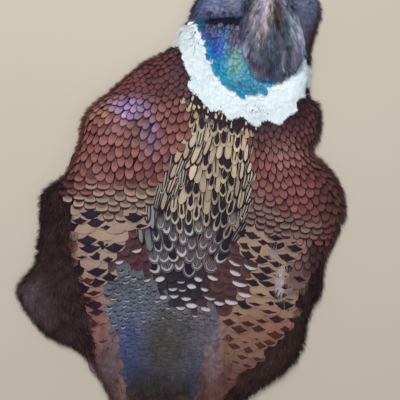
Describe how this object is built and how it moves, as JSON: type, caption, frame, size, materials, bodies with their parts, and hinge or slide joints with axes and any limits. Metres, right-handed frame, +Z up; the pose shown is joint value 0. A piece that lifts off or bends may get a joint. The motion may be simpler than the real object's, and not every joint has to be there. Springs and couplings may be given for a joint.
{
  "type": "taxidermy pheasant skin",
  "caption": "Flat tanned skin of a cock ring-necked pheasant, back up, feathers on, with head, bill and glass eyes; no wings, legs or tail.",
  "frame": {"origin": "on the ground, under the middle of the part's box", "axes": "+Y from the rump to the bill, +X to the bird's right, +Z up"},
  "size_m": [0.3, 0.458, 0.0395],
  "materials": {
    "crown_feathers": "soft olive-grey hair-like feathers",
    "horn": "pale greenish horn, satin",
    "bare_face": "red, covered in small papillae",
    "glass_eye": "polished, amber iris and black pupil",
    "neck_feathers": "glossy blue-green feathers with purple sheen",
    "white_feathers": "soft white plumes",
    "back_feathers": "buff and maroon feathers with black and cream marks",
    "rump_feathers": "grey-green plumes with blue sheen",
    "copper_feathers": "glossy copper feathers with dark rims",
    "golden_feathers": "golden feathers with black tips",
    "dark_down": "matt blackish-brown down"
  },
  "bodies": {
    "root": {"head": "crown_feathers", "bill_upper": "horn", "bill_lower": "horn", "face_left": "bare_face", "face_right": "bare_face", "eye_left": "glass_eye", "eye_right": "glass_eye", "cheek_left": "neck_feathers", "cheek_right": "neck_feathers", "neck": "neck_feathers", "collar": "white_feathers", "mantle": "back_feathers", "scapulars": "back_feathers", "lower_back": "back_feathers", "rump": "rump_feathers", "tail_coverts": "rump_feathers", "breast_left": "copper_feathers", "breast_right": "copper_feathers", "flank_left": "golden_feathers", "flank_right": "golden_feathers", "belly_left": "dark_down", "belly_right": "dark_down"}
  },
  "joints": []
}
